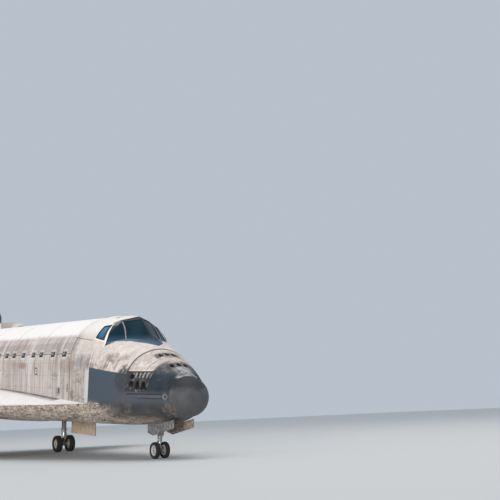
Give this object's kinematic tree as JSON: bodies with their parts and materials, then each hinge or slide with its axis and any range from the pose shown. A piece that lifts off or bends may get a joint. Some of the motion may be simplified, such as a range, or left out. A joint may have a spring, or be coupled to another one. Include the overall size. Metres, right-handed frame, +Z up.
{
  "type": "winged space orbiter",
  "caption": "Winged crewed orbiter parked on its gear, with clamshell bay doors, elevons, body flap, split rudder and steerable nose wheels.",
  "frame": {"origin": "on the ground, under the middle of the craft's bounding box", "axes": "+Z up from the ground, -Y towards the nose, +X towards the craft's left wing; the airframe stands 3.91 degrees nose down"},
  "size_m": [23.7744, 36.315, 17.5482],
  "materials": {
    "white_surface": "matte",
    "belly_tile": "matte",
    "carbon": "matte",
    "glass": "gloss",
    "cabin_grey": "matte",
    "radiator_silver": "satin",
    "engine_metal": "satin",
    "gear_metal": "satin",
    "rim_grey": "satin",
    "tyre_rubber": "matte"
  },
  "bodies": {
    "airframe": {"nose_cap": "carbon", "nose_fuselage": "white_surface", "forward_fuselage": "white_surface", "forward_thruster_module": "white_surface", "cabin_glass": "glass", "rear_cabin_glass": "glass", "flight_deck": "cabin_grey", "mid_fuselage": "white_surface", "aft_fuselage": "white_surface", "main_engine_upper": "engine_metal", "main_engine_left": "engine_metal", "main_engine_right": "engine_metal", "wing_left": "white_surface", "wing_right": "white_surface", "fin": "white_surface", "thruster_pod_left": "white_surface", "thruster_pod_right": "white_surface", "pod_nozzle_left": "engine_metal", "pod_nozzle_right": "engine_metal", "nose_gear_leg": "gear_metal", "main_gear_leg_left": "gear_metal", "main_gear_leg_right": "gear_metal", "nose_gear_door_left": "white_surface", "nose_gear_door_right": "white_surface", "main_gear_door_left": "white_surface", "main_gear_door_right": "white_surface", "wing_leading_edge_left": "carbon", "wing_leading_edge_right": "carbon"},
    "side_hatch": {"side_hatch": "white_surface"},
    "payload_door_left": {"payload_door_left": "white_surface", "radiator_left": "radiator_silver"},
    "payload_door_right": {"payload_door_right": "white_surface", "radiator_right": "radiator_silver"},
    "inboard_elevon_left": {"inboard_elevon_left": "white_surface"},
    "inboard_elevon_right": {"inboard_elevon_right": "white_surface"},
    "outboard_elevon_left": {"outboard_elevon_left": "white_surface"},
    "outboard_elevon_right": {"outboard_elevon_right": "white_surface"},
    "body_flap": {"body_flap": "belly_tile"},
    "rudder": {"rudder_tube": "gear_metal"},
    "rudder_panel_left": {"rudder_panel_left": "white_surface"},
    "rudder_panel_right": {"rudder_panel_right": "white_surface"},
    "nose_fork": {"nose_gear_fork": "gear_metal"},
    "nose_wheels": {"nose_wheels": "rim_grey", "nose_tyre_left": "tyre_rubber", "nose_tyre_right": "tyre_rubber"},
    "main_wheels_left": {"main_wheels_left": "rim_grey", "main_tyre_left_outer": "tyre_rubber", "main_tyre_left_inner": "tyre_rubber"},
    "main_wheels_right": {"main_wheels_right": "rim_grey", "main_tyre_right_inner": "tyre_rubber", "main_tyre_right_outer": "tyre_rubber"}
  },
  "joints": [
    {"name": "nose_steering", "type": "hinge", "parent": "airframe", "child": "nose_fork", "pos_m": [0, -14.30211, -0.34566], "axis": [0, -0.0682, 0.9977], "range_deg": [-10, 10]},
    {"name": "nose_wheel_spin", "type": "hinge", "parent": "nose_fork", "child": "nose_wheels", "pos_m": [0, -14.35351, 0.4064], "axis": [1, 0, 0], "continuous": true},
    {"name": "main_wheel_spin_left", "type": "hinge", "parent": "airframe", "child": "main_wheels_left", "pos_m": [3.4544, 5.67207, 0.56515], "axis": [1, 0, 0], "continuous": true},
    {"name": "main_wheel_spin_right", "type": "hinge", "parent": "airframe", "child": "main_wheels_right", "pos_m": [-3.4544, 5.67207, 0.56515], "axis": [1, 0, 0], "continuous": true},
    {"name": "side_hatch_hinge", "type": "hinge", "parent": "airframe", "child": "side_hatch", "pos_m": [2.54508, -12.45753, 3.95574], "axis": [0, 0.9977, 0.0682], "range_deg": [0, 90]},
    {"name": "payload_door_hinge_left", "type": "hinge", "parent": "airframe", "child": "payload_door_left", "pos_m": [2.60604, -0.44158, 6.20273], "axis": [0, 0.9977, 0.0682], "range_deg": [0, 175.5]},
    {"name": "payload_door_hinge_right", "type": "hinge", "parent": "airframe", "child": "payload_door_right", "pos_m": [-2.60604, -0.44158, 6.20273], "axis": [0, -0.9977, -0.0682], "range_deg": [0, 175.5]},
    {"name": "inboard_elevon_hinge_left", "type": "hinge", "parent": "airframe", "child": "inboard_elevon_left", "pos_m": [2.667, 11.12654, 3.45455], "axis": [0.9993, -0.0025, 0.0367], "range_deg": [-20, 35]},
    {"name": "outboard_elevon_hinge_left", "type": "hinge", "parent": "airframe", "child": "outboard_elevon_left", "pos_m": [2.667, 11.12654, 3.45455], "axis": [0.9993, -0.0025, 0.0367], "range_deg": [-20, 35]},
    {"name": "inboard_elevon_hinge_right", "type": "hinge", "parent": "airframe", "child": "inboard_elevon_right", "pos_m": [-2.667, 11.12654, 3.45455], "axis": [0.9993, 0.0025, -0.0367], "range_deg": [-20, 35]},
    {"name": "outboard_elevon_hinge_right", "type": "hinge", "parent": "airframe", "child": "outboard_elevon_right", "pos_m": [-2.667, 11.12654, 3.45455], "axis": [0.9993, 0.0025, -0.0367], "range_deg": [-20, 35]},
    {"name": "body_flap_hinge", "type": "hinge", "parent": "airframe", "child": "body_flap", "pos_m": [0, 14.79058, 3.85774], "axis": [1, 0, 0], "range_deg": [-22.5, 11.7]},
    {"name": "rudder_hinge", "type": "hinge", "parent": "airframe", "child": "rudder", "pos_m": [0, 12.60959, 10.04803], "axis": [0, 0.5139, 0.8578], "range_deg": [-22.8, 22.8]},
    {"name": "speed_brake_left", "type": "hinge", "parent": "rudder", "child": "rudder_panel_left", "pos_m": [0, 12.60959, 10.04803], "axis": [0, -0.5139, -0.8578], "range_deg": [0, 43.6]},
    {"name": "speed_brake_right", "type": "hinge", "parent": "rudder", "child": "rudder_panel_right", "pos_m": [0, 12.60959, 10.04803], "axis": [0, 0.5139, 0.8578], "range_deg": [0, 43.6]}
  ],
  "couplings": [
    {"joint": "speed_brake_right", "follows": "speed_brake_left", "ratio": 1}
  ]
}
